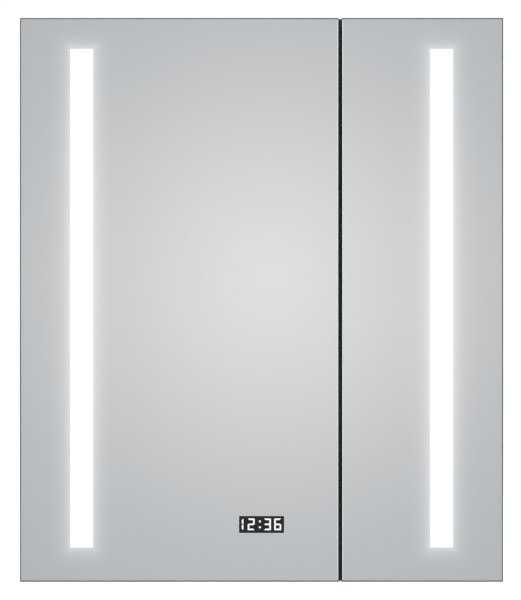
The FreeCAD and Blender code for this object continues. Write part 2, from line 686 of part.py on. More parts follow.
def hollow_bar(name, x, y, z, along):
    """Square tube with the frame's wall thickness, open at the ends along its run."""
    outer = block(name + "_outer", x, y, z)
    inner = []
    for letter, (low, high) in zip("xyz", (x, y, z)):
        inset = "-1" if letter == along else "wall"
        inner.append((f"{low} + {inset}", f"{high} - ({inset})"))
    return cut(name + "_tube", outer, [block(name + "_inner", *inner)])


# ---------------------------------------------------------------- clock
KEYS = {"hour": "-key_spacing / 2", "minute": "key_spacing / 2"}


def key_rod(name, spot, start, length, radius):
    """Round solid on one clock key's axis, start and length measured forward."""
    return rod(name, "y", (spot, f"-({start}) - ({length})", CLOCK_AT), length, radius)


def clock_pieces():
    """Case, display and the two setting keys behind the wide door's clock window."""
    wide = ("-case_width / 2", "case_width / 2")
    up = (f"{CLOCK_AT} - case_tall / 2", f"{CLOCK_AT} + case_tall / 2")
    case = block("clock_outer", wide, (f"-{LEAF_FRONT}", f"-{LEAF_BACK}"), up)
    room = block("clock_inner", (f"{wide[0]} + case_wall", f"{wide[1]} - case_wall"),
                 (f"-{LEAF_FRONT} - 1", f"-{LEAF_BACK} - case_wall"),
                 (f"{up[0]} + case_wall", f"{up[1]} - case_wall"))
    holes = [key_rod(f"case_hole_{key}", spot, f"{LEAF_BACK} - 1", "case_wall + 2",
                     "key_radius + key_loose") for key, spot in KEYS.items()]
    keep(cut("clock_case", case, [room] + holes), "left_clock_housing")
    face_half = "(clock_width / 2 + face_extra_wide)"
    face_rise = "(clock_tall / 2 + face_extra_tall)"
    keep(plate("clock_face", (f"-{face_half}", face_half),
               (f"{CLOCK_AT} - {face_rise}", f"{CLOCK_AT} + {face_rise}"),
               f"{LEAF_FRONT} - face_thick", "face_thick"), "left_clock_display")
    for key, spot in KEYS.items():
        stem = key_rod(f"{key}_stem", spot, f"{DOOR_BACK} - key_proud", "key_long",
                       "key_radius")
        collar = key_rod(f"{key}_collar", spot, f"{LEAF_BACK} + case_wall", "collar_thick",
                         "key_radius + collar_extra")
        keep(fuse(f"{key}_key", [stem, collar]), f"{key}_button")


# ---------------------------------------------------------------- hinges
def across(distance):
    """X of a point so far in from the left side."""
    return f"{distance} - width / 2"


def forward(distance):
    """Y of a point so far in front of the carcass."""
    return f"-carcass_depth - ({distance})"


def hinge_pin(name, distance, front, half):
    """Upright pin at the upper hinge."""
    start = (across(distance), forward(front), f"hinge_rise - ({half})")
    return rod(name, "z", start, f"2 * ({half})", "pin_radius")


def hinge_eye(name, distance, front, half, radius):
    """Round boss or hole about one of the hinge's two pivots."""
    start = (across(distance), forward(front), f"hinge_rise - ({half})")
    return rod(name, "z", start, f"2 * ({half})", radius)


def hinge_block(name, u, v, half):
    """Rectangular solid in the hinge's own directions."""
    return block(name, (across(u[0]), across(u[1])), (forward(v[1]), forward(v[0])),
                 (f"hinge_rise - {half}", f"hinge_rise + {half}"))


def curved_link():
    """Arched link from the arm's pin to the cup's pin, clear of the cup's rim.

    The arch is a ring segment on the chord between the two pivots.
    """
    low = Vector(SHEET.arm_across - SHEET.width / 2, -SHEET.carcass_depth - SHEET.arm_forward, 0)
    high = Vector(SHEET.cup_across - SHEET.width / 2, -SHEET.carcass_depth - SHEET.cup_forward, 0)
    chord = high - low
    out = Vector(-chord.y, chord.x, 0).normalize()
    if out.y > 0:
        out = -out
    middle = (low + high) / 2
    radius = (chord.Length ** 2 / 4 + SHEET.arch_rise ** 2) / (2 * SHEET.arch_rise)
    centre = middle + out * (SHEET.arch_rise - radius)
    bottom = SHEET.hinge_rise - SHEET.link_half
    wide = 2 * SHEET.link_half

    def round_bar(spot, size):
        return Part.makeCylinder(size, wide, Vector(spot.x, spot.y, bottom))

    arch = round_bar(centre, radius + SHEET.arch_half).cut(
        round_bar(centre, radius - SHEET.arch_half))
    side = 4 * radius
    slab = Part.makeBox(side, side, wide, Vector(-side / 2, 0, 0))
    slab.Placement = Placement(Vector(middle.x, middle.y, bottom),
                               Rotation(Vector(0, 1, 0), out))
    arch = arch.common(slab)
    for pivot in (low, high):
        arch = arch.fuse(round_bar(pivot, SHEET.eye_radius))
    for pivot in (low, high):
        arch = arch.cut(round_bar(pivot, SHEET.pin_radius + SHEET.pin_play))
    link = DOC.addObject("Part::Feature", "link_upper")
    link.Shape = arch.removeSplitter()
    link.Placement = Placement()
    return link


ARM_OUTLINE = [("19", "-50"), ("26", "-50"), ("26", "-10"), ("arm_across + nose_radius", "-4"),
               ("arm_across + nose_radius", "arm_forward"),
               ("arm_across - nose_radius", "arm_forward"),
               ("arm_across - nose_radius", "-1.5"), ("19", "-8")]
ARM_FORK = (("arm_across - 8", "arm_across + 8"), ("-0.6", "12"))


def hinge_arm():
    """Arm with a forked nose that carries the link's pin."""
    body = DOC.addObject("PartDesign::Body", "arm_body")
    profile = sketch_on(body, "XY_Plane", "arm_profile", "hinge_rise - ear_outer")
    outline(profile, [(across(u), forward(v)) for u, v in ARM_OUTLINE])
    pad(body, profile, "2 * ear_outer")
    nose = hinge_eye("arm_nose", "arm_across", "arm_forward", "ear_outer", "nose_radius")
    fork = hinge_block("arm_fork", *ARM_FORK, "ear_inner")
    hole = hinge_eye("arm_hole", "arm_across", "arm_forward", "ear_outer + 1", "pin_radius")
    return cut("arm_cut", fuse("arm_whole", [body, nose]), [fork, hole])


CUP_FLOOR = "(door_space + bore_depth)"
WING_SPAN = ("12", "34")
NARROW_SPAN, NARROW_HALF = ("5", "15"), "5.6"
MOUTH_SPAN, MOUTH_HALF = ("14", "33"), "9"


def hinge_cup():
    """Die-cast cup with its screw wings and the mouth that the arm closes into."""
    room = ("0", f"{CUP_FLOOR} - 1")
    shell = rod("cup_shell", "y",
                (across("bore_across"), forward(f"{CUP_FLOOR} - cup_play"), "hinge_rise"),
                "bore_depth - cup_play", "bore_radius - cup_play")
    wings = hinge_block("cup_wings", WING_SPAN, ("door_space - wing_thick", "door_space"),
                        "wing_half")
    narrow = hinge_block("cup_narrow", NARROW_SPAN, room, NARROW_HALF)
    mouth = hinge_block("cup_mouth", MOUTH_SPAN, room, MOUTH_HALF)
    pin_hole = hinge_eye("cup_pin_hole", "cup_across", "cup_forward", "cup_pin_half + 0.2",
                         "pin_radius")
    screw_holes = [rod(f"cup_screw_hole_{i}", "y",
                       (across("cup_screw_across"), forward("door_space + 1"),
                        f"hinge_rise {sign} cup_screw_rise"), "3", "cup_screw_hole")
                   for i, sign in enumerate("-+")]
    return cut("cup_cut", fuse("cup_whole", [shell, wings]),
               [narrow, mouth, pin_hole] + screw_holes)


def screw(name, axis, start, shank, head):
    """Pan-head screw from its tip; start, shank and head are (length, radius) pairs."""
    body = rod(name + "_shank", axis, start, shank[0], shank[1])
    letter = "xyz".index(axis)
    top = list(start)
    top[letter] = f"{start[letter]} + {shank[0]}"
    return fuse(name, [body, rod(name + "_head", axis, top, head[0], head[1])])


CUP_SCREW_TIP = "11"
CUP_SCREW_SHANK = (f"{CUP_SCREW_TIP} - door_space + wing_thick", "1.9")
CUP_SCREW_HEAD = ("0.9", "3.4")


def cup_screws():
    """Two screws through the wings of the upper cup."""
    starts = [(across("cup_screw_across"), forward(CUP_SCREW_TIP),
               f"hinge_rise {sign} cup_screw_rise") for sign in "-+"]
    return group("cup_screw_pair", [
        screw(f"cup_screw_{i}", "y", start, CUP_SCREW_SHANK, CUP_SCREW_HEAD)
        for i, start in enumerate(starts)])


PLATE_SLAB = (("panel", "19"), ("-54", "-14"), "10")
PLATE_WINGS = (("panel", "17"), ("-42", "-24"), "23")


def plate_screw_start(inward, sign):
    """Point on the axis of one of the plate's screws, so far in from the left side."""
    return (across(inward), forward("-plate_screw_back"),
            f"hinge_rise {sign} plate_screw_rise")


def mounting_plate():
    """Plate on the side panel, drilled for its two screws."""
    whole = fuse("plate_whole", [hinge_block("plate_slab", *PLATE_SLAB),
                                 hinge_block("plate_wings", *PLATE_WINGS)])
    holes = [rod(f"plate_hole_{i}", "x", plate_screw_start("panel - 1", sign), "6",
                 "plate_screw_hole") for i, sign in enumerate("-+")]
    return cut("plate_cut", whole, holes)


PLATE_SCREW_SHANK = ("7", "2.2")
PLATE_SCREW_HEAD = ("1.8", "4")


def plate_screws():
    """Two screws through the upper plate into the side panel."""
    return group("plate_screw_pair", [
        screw(f"plate_screw_{i}", "x", plate_screw_start("panel - 5", sign), PLATE_SCREW_SHANK,
              PLATE_SCREW_HEAD) for i, sign in enumerate("-+")])


def build_hinges():
    """Two hinges on each door: fixed halves, links and cups."""
    fixed = {
        "hinge_mounting_plates": mounting_plate(),
        "plate_screws": plate_screws(),
        "hinge_arms": hinge_arm(),
        "arm_pins": hinge_pin("arm_pin", "arm_across", "arm_forward", "ear_outer"),
    }
    for label, upper in fixed.items():
        left = up_and_down(label + "_left", upper)
        keep(group(label + "_all", [left, mirrored(label + "_right", left, "x")]), label)
    moving = {
        "hinge_links": curved_link(),
        "hinge_cups": hinge_cup(),
        "cup_pins": hinge_pin("cup_pin", "cup_across", "cup_forward", "cup_pin_half"),
        "cup_screws": cup_screws(),
    }
    for label, upper in moving.items():
        left = keep(up_and_down(label + "_pair", upper), "left_" + label)
        keep(mirrored(label + "_twin", left, "x"), "right_" + label)


# ---------------------------------------------------------------- checks and files
def check_document():
    """Stop if any object failed or any piece is missing its solids."""
    for thing in DOC.Objects:
        if "Invalid" in thing.State or "Error" in thing.State:
            raise ValueError(f"{thing.Name} failed: {thing.State}")
    for piece in PIECES:
        shape = piece.Shape
        if shape.isNull() or not shape.isValid() or not shape.Solids:
            raise ValueError(f"{piece.Label} has no valid solid")


def main():
    """Build the cabinet and write one file for each piece."""
    build_carcass()
    driver_pieces()
    keep(cable_grommet(), "cable_grommet")
    outlet_unit()
    clock_window = (("-clock_width / 2", "clock_width / 2"),
                    (f"{CLOCK_AT} - clock_tall / 2", f"{CLOCK_AT} + clock_tall / 2"))
    key_holes = [key_rod(f"mirror_hole_{key}", spot, f"{DOOR_BACK} - 1", "back_glass + 2",
                         "key_radius + key_clear") for key, spot in KEYS.items()]
    build_door("left", "left_door_width", False, [clock_window], key_holes)
    build_door("right", RIGHT_DOOR_WIDTH, True, [], [])
    clock_pieces()
    build_hinges()
    DOC.recompute()
    check_document()
    os.makedirs("parts", exist_ok=True)
    for piece in PIECES:
        piece.Shape.exportStep(f"parts/{piece.Label}.step")
        print(piece.Label, len(piece.Shape.Solids), round(piece.Shape.Volume / 1000, 2))
    print(len(PIECES), "pieces")


main()
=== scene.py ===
"""Looks of the mirror cabinet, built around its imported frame, in metres."""
import math

import bmesh
import bpy
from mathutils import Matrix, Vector


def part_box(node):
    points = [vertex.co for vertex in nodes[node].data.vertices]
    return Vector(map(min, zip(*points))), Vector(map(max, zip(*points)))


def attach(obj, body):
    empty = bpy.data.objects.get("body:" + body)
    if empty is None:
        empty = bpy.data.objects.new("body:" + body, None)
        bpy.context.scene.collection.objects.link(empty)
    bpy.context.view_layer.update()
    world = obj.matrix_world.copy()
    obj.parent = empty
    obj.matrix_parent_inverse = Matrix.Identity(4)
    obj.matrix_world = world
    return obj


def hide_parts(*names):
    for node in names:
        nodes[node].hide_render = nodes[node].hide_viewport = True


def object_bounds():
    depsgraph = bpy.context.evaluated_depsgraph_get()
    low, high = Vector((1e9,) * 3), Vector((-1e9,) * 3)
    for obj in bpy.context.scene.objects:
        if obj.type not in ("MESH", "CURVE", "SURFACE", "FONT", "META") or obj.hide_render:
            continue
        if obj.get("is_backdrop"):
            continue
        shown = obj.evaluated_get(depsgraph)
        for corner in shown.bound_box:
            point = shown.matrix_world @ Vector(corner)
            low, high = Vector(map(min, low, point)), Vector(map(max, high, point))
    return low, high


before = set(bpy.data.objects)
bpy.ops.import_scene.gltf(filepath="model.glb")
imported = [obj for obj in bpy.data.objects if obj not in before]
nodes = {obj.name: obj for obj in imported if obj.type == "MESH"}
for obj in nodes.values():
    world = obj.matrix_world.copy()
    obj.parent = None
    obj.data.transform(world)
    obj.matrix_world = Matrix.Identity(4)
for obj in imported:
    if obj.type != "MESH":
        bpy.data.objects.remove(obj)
cad_low, cad_high = (list(corner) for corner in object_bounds())
MM = 0.001

# ---------------------------------------------------------------- camera
# The cabinet is seen square on through a long lens, from eight metres in front of
# its mirrors, with a thirtieth of its height left free above and below.
mirror_plane = cad_low[1]
camera_distance = 8
seen_height = 0.7451
seen_left_shift = -1.3 * MM
seen_drop = -0.2 * MM
camera_data = bpy.data.cameras.new("camera")
camera = bpy.data.objects.new("camera", camera_data)
bpy.context.scene.collection.objects.link(camera)
camera.location = (seen_left_shift, mirror_plane - camera_distance, seen_drop)
camera.rotation_euler = (math.radians(90), 0, 0)
camera_data.sensor_fit = "VERTICAL"
camera_data.lens = camera_data.sensor_height * camera_distance / seen_height
bpy.context.scene.camera = camera
bpy.context.scene.view_settings.view_transform = "Standard"


# ---------------------------------------------------------------- studio
# A white room whose far wall glows softly in front of the mirrors and dims
# outwards, three large soft lamps, and a plain pale floor under the cabinet.  The
# back lamp isn't reflected, so that the cabinet's top doesn't dazzle.
def add(tree, kind, inputs=None, **settings):
    """Add one shader node, set it up, and feed its inputs with values or sockets."""
    made = tree.nodes.new("ShaderNode" + kind)
    for key, value in settings.items():
        setattr(made, key, value)
    for key, value in (inputs or {}).items():
        if isinstance(value, bpy.types.NodeSocket):
            tree.links.new(value, made.inputs[key])
        else:
            made.inputs[key].default_value = value
    return made


def work_out(tree, operation, *values, **settings):
    """One sum on numbers or sockets, as a socket."""
    return add(tree, "Math", dict(enumerate(values)), operation=operation, **settings).outputs[0]


def work_out_vector(tree, operation, *values):
    """One sum on vectors, as a socket: a number for a dot product or a length."""
    made = add(tree, "VectorMath", dict(enumerate(values)), operation=operation)
    return made.outputs["Value" if operation in ("DOT_PRODUCT", "LENGTH") else "Vector"]


def blend(tree, amount, first, second, **settings):
    """Colour between two others, as a socket."""
    made = add(tree, "Mix", {0: amount, 6: first, 7: second}, data_type="RGBA", **settings)
    return made.outputs[2]


def ramp(tree, value, stops):
    """Colour that follows a value through stops of position and colour, as a socket."""
    made = add(tree, "ValToRGB", {"Fac": value})
    made.color_ramp.elements.remove(made.color_ramp.elements[-1])
    for i, (position, colour) in enumerate(stops):
        elements = made.color_ramp.elements
        stop = elements[0] if i == 0 else elements.new(position)
        stop.position = position
        stop.color = (*colour, 1)
    return made.outputs["Color"]


world = bpy.data.worlds.new("studio")
bpy.context.scene.world = world
world.use_nodes = True
room = world.node_tree
room.nodes.clear()
white = (1, 1, 1, 1)
glow_across = 0.012
glow_up = 0.026
glow_radius = 0.48
glow_centre = Vector((glow_across, -camera_distance, glow_up)).normalized()
glow_reach = math.atan(glow_radius / camera_distance)
wall_reach = 0.9
left_wall_gain = 1.1
right_wall_gain = 0.85
direction = add(room, "TexCoord").outputs["Generated"]
angle = work_out(room, "ARCCOSINE", work_out_vector(room, "DOT_PRODUCT", direction, glow_centre))
near_part = add(room, "MapRange", {"Value": angle, "From Max": glow_reach}).outputs[0]
near = ramp(room, near_part, [(0.0, (0.772, 0.772, 0.770)), (0.125, (0.741, 0.749, 0.743)),
                              (0.25, (0.698, 0.699, 0.710)), (0.52, (0.590, 0.596, 0.607)),
                              (0.73, (0.515, 0.532, 0.546)), (1.0, (0.468, 0.486, 0.506))])
parts = add(room, "SeparateXYZ", {"Vector": direction}).outputs
up_part = add(room, "MapRange", {"Value": parts["Z"], "From Min": -1}).outputs[0]
far = ramp(room, up_part, [(0.0, (0.80, 0.80, 0.80)), (0.35, (0.66, 0.665, 0.67)),
                           (0.50, (0.43, 0.44, 0.455)), (0.62, (0.52, 0.53, 0.54)),
                           (1.0, (0.95, 0.95, 0.95))])
side_gain = add(room, "MapRange", {"Value": parts["X"], "From Min": -1, "To Min": left_wall_gain,
                                   "To Max": right_wall_gain}).outputs[0]
walls = add(room, "VectorMath", {"Vector": far, "Scale": side_gain}, operation="SCALE").outputs[0]
outward = add(room, "MapRange", {"Value": angle, "From Min": glow_reach, "From Max": wall_reach},
              interpolation_type="SMOOTHSTEP").outputs[0]
soft_room = blend(room, outward, near, walls)
backdrop = blend(room, add(room, "LightPath").outputs["Is Camera Ray"], soft_room, white)
shine = add(room, "Background", {"Color": backdrop})
room.links.new(shine.outputs[0], add(room, "OutputWorld").inputs["Surface"])


def soft_lamp(name, spot, size, power):
    """Square soft lamp aimed at the middle of the cabinet."""
    data = bpy.data.lights.new(name, "AREA")
    data.size = size
    data.energy = power
    lamp = bpy.data.objects.new(name, data)
    lamp.location = spot
    lamp.rotation_euler = (-Vector(spot)).to_track_quat("-Z", "Y").to_euler()
    bpy.context.scene.collection.objects.link(lamp)
    return lamp


soft_lamp("key_lamp", spot=(-1.9, -1.7, 1.9), size=1.4, power=42)
soft_lamp("fill_lamp", spot=(2.4, -0.9, 1.0), size=1.6, power=26)
back_lamp = soft_lamp("back_lamp", spot=(0.5, 2.4, 1.7), size=1.6, power=30)
back_lamp.visible_glossy = False

floor_drop = 0.5 * MM
floor_half = 12
floor_mesh = bpy.data.meshes.new("floor")
floor_level = cad_low[2] - floor_drop
floor_mesh.from_pydata([(x * floor_half, y * floor_half, floor_level)
                        for x, y in ((-1, -1), (1, -1), (1, 1), (-1, 1))], [], [(0, 1, 2, 3)])
floor = bpy.data.objects.new("floor", floor_mesh)
bpy.context.scene.collection.objects.link(floor)
floor.visible_glossy = False
floor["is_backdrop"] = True
floor_paint = bpy.data.materials.new("floor_paint")
floor_paint.use_nodes = True
floor_shader = floor_paint.node_tree.nodes["Principled BSDF"]
floor_shader.inputs["Base Color"].default_value = (0.86, 0.86, 0.86, 1)
floor_shader.inputs["Roughness"].default_value = 0.9
floor_shader.inputs["Specular IOR Level"].default_value = 0.1
floor_shader.inputs["Emission Color"].default_value = white
floor_shader.inputs["Emission Strength"].default_value = 0.42
floor_mesh.materials.append(floor_paint)


# ---------------------------------------------------------------- door edge bands
# A thin band of grey anodised aluminium is bent round the four edges of each
# door.  It shows the fine lines of its rolling and is rubbed lighter at its arrises.
def effect(name, inputs, outputs):
    """Start a shared shader effect: its tree, its inputs and its outputs."""
    tree = bpy.data.node_groups.new(name, "ShaderNodeTree")
    for label, kind, value in inputs:
        socket = tree.interface.new_socket(label, in_out="INPUT", socket_type="NodeSocket" + kind)
        socket.default_value = value
    for label, kind in outputs:
        tree.interface.new_socket(label, in_out="OUTPUT", socket_type="NodeSocket" + kind)
    return tree, tree.nodes.new("NodeGroupInput").outputs, tree.nodes.new("NodeGroupOutput").inputs


def own_place(tree):
    """Places on the object itself, as a socket."""
    return add(tree, "TexCoord").outputs["Object"]


def dimming(tree, noise, contrast):
    """Shade from one less the contrast up to one, across the middle of a noise."""
    lowest = work_out(tree, "SUBTRACT", 1.0, contrast)
    return add(tree, "MapRange", {"Value": noise.outputs[0], "From Min": 0.3, "From Max": 0.7,
                                  "To Min": lowest, "To Max": 1.0}).outputs[0]


def make_drawn_lines():
    """Fine lines left along a drawn or rolled metal."""
    tree, given, result = effect(
        "Drawn lines", [("Stretch", "Vector", (900, 900, 4)), ("Contrast", "Float", 0.12)],
        [("Shade", "Float"), ("Height", "Float")])
    stretched = add(tree, "Mapping", {"Vector": own_place(tree), "Scale": given["Stretch"]})
    lines = add(tree, "TexNoise", {"Vector": stretched.outputs[0], "Scale": 1.0, "Detail": 3.0,
                                   "Roughness": 0.6})
    tree.links.new(dimming(tree, lines, given["Contrast"]), result["Shade"])
    tree.links.new(lines.outputs[0], result["Height"])
    return tree


def make_rubbed_edges():
    """Arrises: a mask that is white on them, and a normal that rounds them off."""
    tree, given, result = effect(
        "Rubbed edges", [("Width", "Float", 0.6 * MM), ("Sharpness", "Float", 3.0)],
        [("Mask", "Float"), ("Normal", "Vector")])
    rounded = add(tree, "Bevel", {"Radius": given["Width"]}, samples=4)
    flat = add(tree, "NewGeometry").outputs["Normal"]
    same = work_out_vector(tree, "DOT_PRODUCT", rounded.outputs[0], flat)
    off = work_out(tree, "SUBTRACT", 1.0, same)
    mask = work_out(tree, "MULTIPLY", off, given["Sharpness"], use_clamp=True)
    tree.links.new(mask, result["Mask"])
    tree.links.new(rounded.outputs[0], result["Normal"])
    return tree


def make_handling_marks():
    """Broad, faint patches that hands and cleaning leave on a smooth surface."""
    tree, given, result = effect(
        "Handling marks",
        [("Size", "Float", 9.0), ("Low", "Float", 0.02), ("High", "Float", 0.05)],
        [("Roughness", "Float")])
    spots = add(tree, "TexNoise", {"Vector": own_place(tree), "Scale": given["Size"],
                                   "Detail": 5.0, "Distortion": 0.8})
    level = add(tree, "MapRange", {"Value": spots.outputs[0], "From Min": 0.45, "From Max": 0.7,
                                   "To Min": given["Low"], "To Max": given["High"]})
    tree.links.new(level.outputs[0], result["Roughness"])
    return tree


drawn_lines = make_drawn_lines()
rubbed_edges = make_rubbed_edges()
handling_marks = make_handling_marks()


def place(tree, shared, **inputs):
    """Place a shared effect in a material with its own values."""
    made = add(tree, "Group", node_tree=shared)
    for key, value in inputs.items():
        made.inputs[key.capitalize()].default_value = value
    return made


def new_finish(name, colour, metallic, roughness):
    """New material with its Principled shader, in one plain colour so far."""
    material = bpy.data.materials.new(name)
    material.use_nodes = True
    shader = material.node_tree.nodes["Principled BSDF"]
    shader.inputs["Base Color"].default_value = (*colour, 1)
    shader.inputs["Metallic"].default_value = metallic
    shader.inputs["Roughness"].default_value = roughness
    return material, material.node_tree, shader


def mark(tree, shader, size, low, high):
    """Let the roughness run from low to high with the handling marks."""
    marks = place(tree, handling_marks, size=size, low=low, high=high)
    tree.links.new(marks.outputs["Roughness"], shader.inputs["Roughness"])


def tint(tree, shader, colour, rubbed_colour, shade, mask):
    """Base colour that dims with a shade and turns to a second colour under a mask."""
    shaded = blend(tree, 1.0, (*colour, 1), shade, blend_type="MULTIPLY")
    tree.links.new(blend(tree, mask, shaded, (*rubbed_colour, 1)), shader.inputs["Base Color"])


def bump(tree, shader, height, strength, distance, edges=None):
    """Raise the surface a little by a height, over arrises rounded by the edge effect."""
    raised = add(tree, "Bump", {"Height": height, "Strength": strength, "Distance": distance})
    if edges:
        tree.links.new(edges.outputs["Normal"], raised.inputs["Normal"])
    tree.links.new(raised.outputs[0], shader.inputs["Normal"])


line_strength = 0.12
line_depth = 0.04 * MM


def drawn_metal(name, colour, rubbed_colour, stretch, contrast, low, high):
    """Anodised or plain aluminium with its drawing lines, marks and rubbed arrises."""
    material, tree, shader = new_finish(name, colour, 1.0, low)
    lines = place(tree, drawn_lines, stretch=stretch, contrast=contrast)
    edges = place(tree, rubbed_edges, width=0.5 * MM)
    tint(tree, shader, colour, rubbed_colour, lines.outputs["Shade"], edges.outputs["Mask"])
    mark(tree, shader, size=7.0, low=low, high=high)
    bump(tree, shader, lines.outputs["Height"], line_strength, line_depth, edges)
    return material


def dress(name, material):
    """Give a frame node its material."""
    nodes[name].data.materials.clear()
    nodes[name].data.materials.append(material)


same_point = 0.002 * MM
sharp_from = math.radians(40)


def soften(name, width, segments=2):
    """Round a frame node's arrises a little."""
    piece = nodes[name]
    weld = piece.modifiers.new("weld", "WELD")
    weld.merge_threshold = same_point
    edge = piece.modifiers.new("arris", "BEVEL")
    edge.width = width
    edge.segments = segments
    edge.limit_method = "ANGLE"
    edge.angle_limit = sharp_from
    edge.harden_normals = True


lines_up = (1400, 1400, 6)
lines_across = (6, 1400, 1400)
band_thick = 1.5 * MM
band_grey = (0.215, 0.22, 0.225)
band_rubbed = (0.42, 0.43, 0.44)
edge_grey = drawn_metal("door_edge", band_grey, band_rubbed, lines_up, contrast=0.2,
                        low=0.30, high=0.42)
band_tree = edge_grey.node_tree
band_place = add(band_tree, "SeparateXYZ", {"Vector": own_place(band_tree)})
band_level = work_out(band_tree, "ABSOLUTE", band_place.outputs["Z"])
on_level_run = work_out(band_tree, "GREATER_THAN", band_level, cad_high[2] - band_thick)
run_stretch = add(band_tree, "Mix", {0: on_level_run, 4: lines_up, 5: lines_across},
                  data_type="VECTOR")
for item in band_tree.nodes:
    if item.type == "GROUP" and item.node_tree == drawn_lines:
        band_tree.links.new(run_stretch.outputs[1], item.inputs["Stretch"])
for side in ("left", "right"):
    dress(f"{side}_edge_band", edge_grey)
    soften(f"{side}_edge_band", width=0.2 * MM)


# ---------------------------------------------------------------- mirror panes
# One pane of 4 mm float glass faces each door, silvered and painted dark behind, its
# edges ground to a narrow arris that glows faintly: a painted highlight.  The dark back
# paint also covers the pane's cut sides, where it is painted shade in the gap between the
# doors.  The silver is etched away at the light window and the clock, and a painted glow
# on the silver fades away round the etched strip.
def to_object(name, mesh_data, materials, body):
    """Turn a finished bmesh into a piece that rides on a body."""
    mesh = bpy.data.meshes.new(name)
    mesh_data.normal_update()
    mesh_data.to_mesh(mesh)
    mesh_data.free()
    piece = bpy.data.objects.new(name, mesh)
    bpy.context.scene.collection.objects.link(piece)
    for material in materials:
        mesh.materials.append(material)
    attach(piece, body)
    return piece


silvered, ground, painted = range(3)
on_the_edge = 0.01 * MM
front_normal = -0.99
arris_normal = -0.3


def pane_mesh(cuts_x, cuts_z, windows, front, back, arris, meeting, meeting_arris):
    """Plate between two planes, cut into a grid whose window cells are left open.

    Its arrises are ground, more widely at the edge that meets the other door.
    """
    mesh = bmesh.new()
    spots = {}
    for i, x in enumerate(cuts_x):
        for j, z in enumerate(cuts_z):
            for k, y in enumerate((front, back)):
                spots[i, j, k] = mesh.verts.new((x, y, z))
    filled = {(i, j) for i in range(len(cuts_x) - 1) for j in range(len(cuts_z) - 1)} - windows
    for i, j in filled:
        for k in (0, 1):
            ring = [spots[i, j, k], spots[i + 1, j, k], spots[i + 1, j + 1, k], spots[i, j + 1, k]]
            mesh.faces.new(ring if k == 0 else ring[::-1])
        for step, ends in (((-1, 0), ((0, 0), (0, 1))), ((1, 0), ((1, 1), (1, 0))),
                           ((0, -1), ((1, 0), (0, 0))), ((0, 1), ((0, 1), (1, 1)))):
            if (i + step[0], j + step[1]) in filled:
                continue
            (a, b), (c, d) = ends
            mesh.faces.new([spots[i + a, j + b, 0], spots[i + c, j + d, 0],
                            spots[i + c, j + d, 1], spots[i + a, j + b, 1]])
    bmesh.ops.delete(mesh, geom=[v for v in mesh.verts if not v.link_faces], context="VERTS")
    bmesh.ops.recalc_face_normals(mesh, faces=mesh.faces)
    for wide, width in ((True, meeting_arris), (False, arris)):
        sharp = [e for e in mesh.edges if e.calc_face_angle(0) > 1
                 and all(abs(v.co.x - meeting) < on_the_edge for v in e.verts) == wide]
        bmesh.ops.bevel(mesh, geom=sharp, offset=width, segments=1, affect="EDGES")
    for face in mesh.faces:
        face.normal_update()
        if face.normal.y < front_normal:
            face.material_index = silvered
        elif face.normal.y < arris_normal:
            face.material_index = ground
        # Sides and back take the dark backing: a real coat behind, and painted shade on the cut
        # sides that face the gap between the doors.
        else:
            face.material_index = painted
    return mesh


# A white glow is painted on the silver round each light window: painted light that fades out over a
# few millimetres.
halo_white = (1.0, 0.985, 0.99, 1)
halo_reach = 8.0 * MM
halo_strength = 0.215


def paint_strip_glow(tree, shader, centre, half, reach, strength):
    """Painted glow that fades away from a rectangle in the door's plane."""
    from_centre = work_out_vector(tree, "SUBTRACT", own_place(tree), centre)
    past = work_out_vector(tree, "SUBTRACT", work_out_vector(tree, "ABSOLUTE", from_centre), half)
    outside = work_out_vector(tree, "MAXIMUM", past, (0, 0, 0))
    away = work_out(tree, "MULTIPLY", work_out_vector(tree, "LENGTH", outside), -1 / reach)
    faded = work_out(tree, "EXPONENT", away)
    tree.links.new(blend(tree, faded, (0, 0, 0, 1), halo_white), shader.inputs["Emission Color"])
    shader.inputs["Emission Strength"].default_value = strength


glass_edge, edge_tree, edge_shader = new_finish("ground_arris_painted_glow", (0.50, 0.56, 0.54), 0.0, 0.3)
mark(edge_tree, edge_shader, size=60.0, low=0.29, high=0.42)
# Every ground arris glows faintly greenish white: a painted highlight along the panes' edges.
edge_shader.inputs["Emission Color"].default_value = (0.95, 1.0, 0.98, 1)
edge_shader.inputs["Emission Strength"].default_value = 0.18

# Dark backing paint behind each pane, also laid on its cut sides, where it is painted shade for the
# gap between the doors.
dark_backing_and_side_shade, back_tree, back_shader = new_finish("mirror_backing_and_side_shade", (0.03, 0.032, 0.035), 0.0, 0.6)
back_grain = add(back_tree, "TexNoise", {"Scale": 500.0, "Detail": 4.0})
bump(back_tree, back_shader, back_grain.outputs[0], strength=0.3, distance=0.05 * MM)

